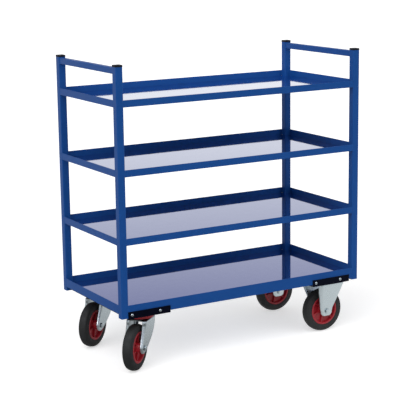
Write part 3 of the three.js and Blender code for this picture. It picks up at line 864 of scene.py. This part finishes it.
def swivel_fork(name):
    """Fork of a swivel caster: two legs under a web with the round crown of the lower race."""
    lean = (SWIVEL_WIDTH / 2 - LEG_OFFSET) / (SWIVEL_TOP - LEG_BEND)
    bottom = SWIVEL_TOP - SWIVEL_WEB_THICKNESS
    bm = bmesh.new()
    for side in (-1, 1):
        add_leg(bm, swivel_leg, SWIVEL_TOP, lean, side)
    web = rounded_rectangle(2 * SWIVEL_REACH, SWIVEL_WIDTH - 2 * FOLD_RADIUS, SWIVEL_CORNER)
    add_prism(bm, web, bottom, SWIVEL_TOP)
    crown_top = SWIVEL_TOP + CROWN_HEIGHT
    crown = [
        (CROWN_RADIUS, bottom + OVERLAP),
        (CROWN_RADIUS, SWIVEL_TOP + CROWN_EASE),
        (CROWN_RADIUS - CROWN_EASE / 2, crown_top - CROWN_EASE),
        (CROWN_RADIUS - CROWN_EASE, crown_top - CROWN_EASE / 3),
        (CROWN_RADIUS - 2 * CROWN_EASE, crown_top),
    ]
    add_shaft(bm, crown)
    matrix, _ = caster_frame(name)
    body = f"{name}_swivel_fork"
    finished(bm, f"{name}_fork_pressed", body, "zinc_steel", f"{name}_fork", matrix, PRESSED_EDGE)


def swivel_plate(name):
    """Top plate with its bolts, the race below it, and the king pin with its nut."""
    bottom = MOUNTING_HEIGHT - PLATE_THICKNESS
    crown_top = SWIVEL_TOP + CROWN_HEIGHT
    bm = bmesh.new()
    add_prism(bm, rounded_rectangle(PLATE_LENGTH, PLATE_WIDTH, PLATE_CORNER), bottom, MOUNTING_HEIGHT)
    race = [
        (RACE_RADIUS - RACE_EASE, crown_top + PLAY),
        (RACE_RADIUS, crown_top + RACE_EASE),
        (RACE_RADIUS, bottom + OVERLAP),
    ]
    add_shaft(bm, race)
    nut_top = SWIVEL_TOP - SWIVEL_WEB_THICKNESS - PLAY
    nut_bottom = nut_top - KING_NUT_HEIGHT
    king_pin = [(KING_PIN_RADIUS, nut_bottom), (KING_PIN_RADIUS, crown_top + OVERLAP)]
    add_shaft(bm, king_pin, "Z", KING_PIN_STEPS)
    add_hexagon(bm, KING_NUT_RADIUS, nut_bottom, nut_top)
    spacing_x = PLATE_LENGTH - 2 * SWIVEL_BOLT_INSET
    spacing_y = PLATE_WIDTH - 2 * SWIVEL_BOLT_INSET
    add_bolts(bm, spacing_x, spacing_y, bottom)
    node = f"{name}_swivel_plate"
    finished(bm, f"{node}_pressed", "chassis", "zinc_steel", node, upright_frame(node), PRESSED_EDGE)


def seal_ring(name):
    """Moulded ring round the race, with a rounded outside."""
    bottom = SWIVEL_TOP + CROWN_HEIGHT - SEAL_SKIRT
    top = MOUNTING_HEIGHT - PLATE_THICKNESS - PLAY
    bore = RACE_RADIUS + 2 * PLAY
    corners = [(bore, bottom), (SEAL_RADIUS, bottom), (SEAL_RADIUS, top), (bore, top)]
    bm = bmesh.new()
    add_lathe(bm, rounded(corners, SEAL_ROUNDING))
    node = f"{name}_seal_ring"
    finished(bm, f"{node}_moulded", "chassis", "red_plastic", node, upright_frame(node))


def tyre(name):
    """Rubber tyre with a crowned tread and round shoulders."""
    depth = WHEEL_RADIUS - TYRE_SEAT
    corners = [Vector((TYRE_SEAT + deep * depth, wide * TYRE_WIDTH / 2))
               for deep, wide in TYRE_PROFILE_SHARES]
    half = [corners[0]]
    for before, corner, after in zip(corners, corners[1:], corners[2:]):
        start = (corner + before) / 2
        end = (corner + after) / 2
        half.extend(bend(start, corner, end, TYRE_SHOULDER_STEPS))
    half.append(corners[-1])
    bm = bmesh.new()
    add_lathe(bm, mirrored_profile(half), "Y", TYRE_STEPS)
    node = f"{name}_tyre"
    finished(bm, f"{node}_moulded", f"{name}_wheel", "tyre_rubber", node, wheel_frame(name))


def rim(name):
    """Red rim: hub, dished web, ring under the tyre, and ribs from the hub to the ring."""
    half = [
        (HUB_BORE, HUB_HALF),
        (HUB_RADIUS, HUB_HALF),
        (HUB_RADIUS + RIM_DISH, RIM_WEB_HALF),
        (RIM_INSIDE - RIM_DISH, RIM_WEB_HALF),
        (RIM_INSIDE, RIM_HALF_WIDTH),
        (RIM_SEAT, RIM_HALF_WIDTH),
    ]
    bm = bmesh.new()
    add_lathe(bm, rounded(mirrored_profile(half), RIM_ROUNDING), "Y")
    low = (HUB_RADIUS - OVERLAP, -RIB_WIDTH / 2, -RIB_THICKNESS / 2)
    high = (RIM_INSIDE + OVERLAP, RIB_WIDTH / 2, RIB_THICKNESS / 2)
    for number in range(RIB_COUNT):
        turn = Matrix.Rotation(-RIB_TURN - number * 2 * math.pi / RIB_COUNT, 4, "Y")
        add_box(bm, low, high, turn)
    node = f"{name}_rim"
    finished(bm, f"{node}_moulded", f"{name}_wheel", "red_plastic", node, wheel_frame(name), RIM_EDGE)


def axle(name):
    """Sleeve between the legs, bolt through them, hexagon head and nut outside with washers."""
    inside = LEG_OFFSET - LEG_THICKNESS - PLAY
    outside = LEG_OFFSET + PLAY
    end = outside + AXLE_HEAD_HEIGHT
    bm = bmesh.new()
    add_shaft(bm, [(SLEEVE_RADIUS, -inside), (SLEEVE_RADIUS, inside)], "Y", SLEEVE_STEPS)
    add_shaft(bm, [(AXLE_RADIUS, -end), (AXLE_RADIUS, end)], "Y", AXLE_STEPS)
    for side in (-1, 1):
        near, far = sorted((side * (outside + WASHER_THICKNESS), side * (end - AXLE_TIP)))
        add_hexagon(bm, AXLE_HEAD_RADIUS, near, far, "Y")
        near, far = sorted((side * outside, side * (outside + WASHER_THICKNESS)))
        add_shaft(bm, [(AXLE_HEAD_RADIUS, near), (AXLE_HEAD_RADIUS, far)], "Y", SLEEVE_STEPS)
    body = "chassis" if name.endswith("right") else f"{name}_swivel_fork"
    node = f"{name}_axle"
    finished(bm, f"{node}_bolted", body, "zinc_steel", node, wheel_frame(name), AXLE_EDGE)


for caster in CASTERS:
    tyre(caster)
    rim(caster)
    axle(caster)
    if caster.endswith("left"):
        swivel_fork(caster)
        swivel_plate(caster)
        seal_ring(caster)
    else:
        fixed_fork(caster)


# Weld beads where the rails and the handle bars meet the posts
def add_bead(bm, start, end):
    """Rippled bead from one point to another."""
    way = end - start
    turn = way.to_track_quat("Z", "Y").to_matrix()
    count = 2 * max(BEAD_LEAST_RIPPLES, round(way.length / BEAD_PITCH))
    rings = []
    for step in range(count + 1):
        radius = BEAD_RADIUS * (1 - BEAD_RIPPLE_SHARE * (step % 2))
        if step in (0, count):
            radius = BEAD_RADIUS / 2
        center = start + way * step / count
        ring = [center + turn @ Vector((radius * math.cos(a), radius * math.sin(a), 0))
                for a in spaced(0, 2 * math.pi, BEAD_SIDES)[:-1]]
        rings.append([bm.verts.new(spot) for spot in ring])
    loft(bm, rings)


def add_shelf_beads(bm, side, end, level):
    """Beads inside one corner of a shelf, one on its side rail and one on its end rail."""
    low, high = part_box(f"{side}_{end}_post")
    outer_x, face_x = (low.x, high.x) if end == "left" else (high.x, low.x)
    outer_y, face_y = (low.y, high.y) if side == "front" else (high.y, low.y)
    rail_x = outer_x + math.copysign(RAIL_THICKNESS, face_x - outer_x)
    rail_y = outer_y + math.copysign(RAIL_THICKNESS, face_y - outer_y)
    low_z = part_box(f"shelf_{level}_panel")[1].z + BEAD_RADIUS
    high_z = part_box(f"shelf_{level}_{side}_rail")[1].z - BEAD_RADIUS
    for x, y in ((face_x, rail_y), (rail_x, face_y)):
        add_bead(bm, Vector((x, y, low_z)), Vector((x, y, high_z)))


def add_bar_beads(bm, side, end):
    """Beads round the end of a handle bar, on the face of the post."""
    post_low, post_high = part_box(f"{side}_{end}_post")
    y = post_high.y if side == "front" else post_low.y
    low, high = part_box(f"{end}_handle_bar")
    section = [(low.x, low.z), (high.x, low.z), (high.x, high.z), (low.x, high.z)]
    corners = [Vector((x, y, z)) for x, z in section]
    for first, second in zip(corners, [*corners[1:], corners[0]]):
        add_bead(bm, first, second)


for side in SIDES:
    for end in ENDS:
        beads = bmesh.new()
        for level in LEVELS:
            add_shelf_beads(beads, side, end, level)
        add_bar_beads(beads, side, end)
        finished(beads, f"{side}_{end}_weld_beads", "chassis", "blue_paint", smooth=math.pi)


# Floor and world. In reflections the studio is pale to the rear and the right, and darker to the front
# left. The floor's span is in metres along BRIGHT_WAY, and the world's is the cosine of the angle to it.
# The colours of the sky lie at shares of the way from level to straight up, by the sine of the angle.
BRIGHT_WAY = (0.78, 0.63, 0)
WHITE = (1, 1, 1, 1)
BLACK = (0, 0, 0)
FLOOR_REACH = 60.0
FLOOR_COLOUR = (0.86, 0.86, 0.86)
FLOOR_LIFT = 0.52
FLOOR_SPAN = (-850 * MM, 500 * MM)
FLOOR_SIDE_SHARES = (0.2, 1)
MIRRORED_FLOOR_COLOUR = (0.3, 0.3, 0.3)
MIRRORED_FLOOR_LIFT = 0.62
WORLD_COLOUR = (0.8, 0.8, 0.8, 1)
WORLD_LIGHT = 0.45
WORLD_SPAN_SHARES = (-0.6, 0.7)
WORLD_SIDE_SHARES = (0.75, 1)
CEILING_COLOUR = (0.26, 0.27, 0.42, 1)
SKYLIGHT_COLOUR = (0.62, 0.65, 0.74, 1)
SKY_SHARES = [(0.11, WHITE), (0.285, CEILING_COLOUR), (0.34, CEILING_COLOUR), (0.5, SKYLIGHT_COLOUR)]


def studio_side(tree, way, span, shares):
    """Share of light by how far a place or a direction lies on the bright side."""
    dot = add_node(tree, "ShaderNodeVectorMath", operation="DOT_PRODUCT")
    dot.inputs[1].default_value = BRIGHT_WAY
    tree.links.new(way, dot.inputs[0])
    share = between(tree, dot.outputs["Value"], span, shares)
    share.node.interpolation_type = "SMOOTHSTEP"
    return share


def ray_kinds(tree):
    """One for rays of the camera, and one for rays of reflections and glass."""
    rays = add_node(tree, "ShaderNodeLightPath").outputs
    mirrored = calculated(tree, "MAXIMUM", rays["Is Glossy Ray"], rays["Is Transmission Ray"])
    return rays["Is Camera Ray"], mirrored


def floor_material():
    """Pale matt floor. To the camera and in reflections it is lifted to the white of the photograph's
    background, and the object's shadow stays on it."""
    material, tree, shader = new_material("studio_floor")
    shader.inputs["Roughness"].default_value = 1
    shader.inputs["Specular IOR Level"].default_value = 0
    seen, mirrored = ray_kinds(tree)
    place = add_node(tree, "ShaderNodeNewGeometry")
    side = studio_side(tree, place.outputs["Position"], FLOOR_SPAN, FLOOR_SIDE_SHARES)
    reflected = mixed(tree, side, BLACK, MIRRORED_FLOOR_COLOUR)
    tree.links.new(mixed(tree, mirrored, FLOOR_COLOUR, reflected), shader.inputs["Base Color"])
    seen_lift = calculated(tree, "MULTIPLY", seen, FLOOR_LIFT)
    mirrored_side = calculated(tree, "MULTIPLY", mirrored, side)
    mirrored_lift = calculated(tree, "MULTIPLY", mirrored_side, MIRRORED_FLOOR_LIFT)
    shader.inputs["Emission Color"].default_value = WHITE
    tree.links.new(calculated(tree, "ADD", seen_lift, mirrored_lift), shader.inputs["Emission Strength"])
    return material


def studio_floor():
    """Flat floor that reaches beyond what the camera sees."""
    reach = FLOOR_REACH
    mesh = bpy.data.meshes.new("studio_floor")
    corners = [(-reach, -reach, 0), (reach, -reach, 0), (reach, reach, 0), (-reach, reach, 0)]
    mesh.from_pydata(corners, [], [(0, 1, 2, 3)])
    mesh.materials.append(floor_material())
    in_scene("studio_floor", mesh)


def add_sky(tree, colour, strength=1):
    """Light of one colour from all round."""
    node = add_node(tree, "ShaderNodeBackground")
    node.inputs["Color"].default_value = colour
    node.inputs["Strength"].default_value = strength
    return node


def mixed_light(tree, factor, first, second):
    """Light from first to second by the factor."""
    node = add_node(tree, "ShaderNodeMixShader")
    for socket, light in zip(node.inputs, (factor, first, second)):
        tree.links.new(light, socket)
    return node.outputs[0]


def mirrored_sky(tree):
    """What reflections show: white at the horizon, grey violet above it, and paler again overhead."""
    place = add_node(tree, "ShaderNodeTexCoord")
    parts = add_node(tree, "ShaderNodeSeparateXYZ")
    tree.links.new(place.outputs["Generated"], parts.inputs[0])
    ramp = add_node(tree, "ShaderNodeValToRGB")
    stops = ramp.color_ramp.elements
    while len(stops) < len(SKY_SHARES):
        stops.new(1)
    for stop, (height, colour) in zip(stops, SKY_SHARES):
        stop.position = height
        stop.color = colour
    tree.links.new(parts.outputs["Z"], ramp.inputs["Fac"])
    sky = add_sky(tree, WHITE)
    tree.links.new(ramp.outputs["Color"], sky.inputs["Color"])
    side = studio_side(tree, place.outputs["Generated"], WORLD_SPAN_SHARES, WORLD_SIDE_SHARES)
    tree.links.new(side, sky.inputs["Strength"])
    return sky.outputs[0]


def studio_world():
    """White to the camera, a studio in reflections, and even soft light for the rest."""
    world = bpy.data.worlds.new("studio")
    bpy.context.scene.world = world
    world.use_nodes = True
    tree = world.node_tree
    tree.nodes.clear()
    seen, mirrored = ray_kinds(tree)
    plain = add_sky(tree, WORLD_COLOUR, WORLD_LIGHT).outputs[0]
    white = add_sky(tree, WHITE).outputs[0]
    lighting = mixed_light(tree, mirrored, plain, mirrored_sky(tree))
    output = add_node(tree, "ShaderNodeOutputWorld")
    tree.links.new(mixed_light(tree, seen, lighting, white), output.inputs["Surface"])


studio_floor()
studio_world()


# Lamps: broad suns from the left front and the right front
def sun(name, azimuth, elevation, strength, spread):
    """Soft lamp from a direction, given as degrees round from +Y towards +X, and degrees up."""
    lamp = bpy.data.lights.new(name, "SUN")
    lamp.energy = strength
    lamp.angle = math.radians(spread)
    around = math.radians(azimuth)
    up = math.radians(elevation)
    towards = Vector((math.sin(around) * math.cos(up), math.cos(around) * math.cos(up), math.sin(up)))
    in_scene(name, lamp).rotation_euler = towards.to_track_quat("Z", "Y").to_euler()


sun("key_light", azimuth=-122, elevation=46, strength=1.5, spread=50)
sun("fill_light", azimuth=160, elevation=40, strength=0.5, spread=60)


def photo_camera():
    """Camera at the photograph's place and angle."""
    flat = math.cos(CAMERA_PITCH)
    forward = Vector((
        math.sin(-CAMERA_YAW) * flat,
        math.cos(CAMERA_YAW) * flat,
        math.sin(CAMERA_PITCH),
    ))
    level = forward.cross(Vector((0, 0, 1))).normalized()
    upright = level.cross(forward)
    right = level * math.cos(CAMERA_ROLL) + upright * math.sin(CAMERA_ROLL)
    up = upright * math.cos(CAMERA_ROLL) - level * math.sin(CAMERA_ROLL)
    data = bpy.data.cameras.new("photo_camera")
    data.lens = CAMERA_LENS
    data.sensor_width = CAMERA_SENSOR
    data.clip_end = 2 * FLOOR_REACH
    camera = in_scene("photo_camera", data)
    turned = Matrix((right, up, -forward)).transposed().to_4x4()
    camera.matrix_world = Matrix.Translation(CAMERA_PLACE) @ turned
    bpy.context.scene.camera = camera


photo_camera()
bpy.context.scene.view_settings.view_transform = "Standard"
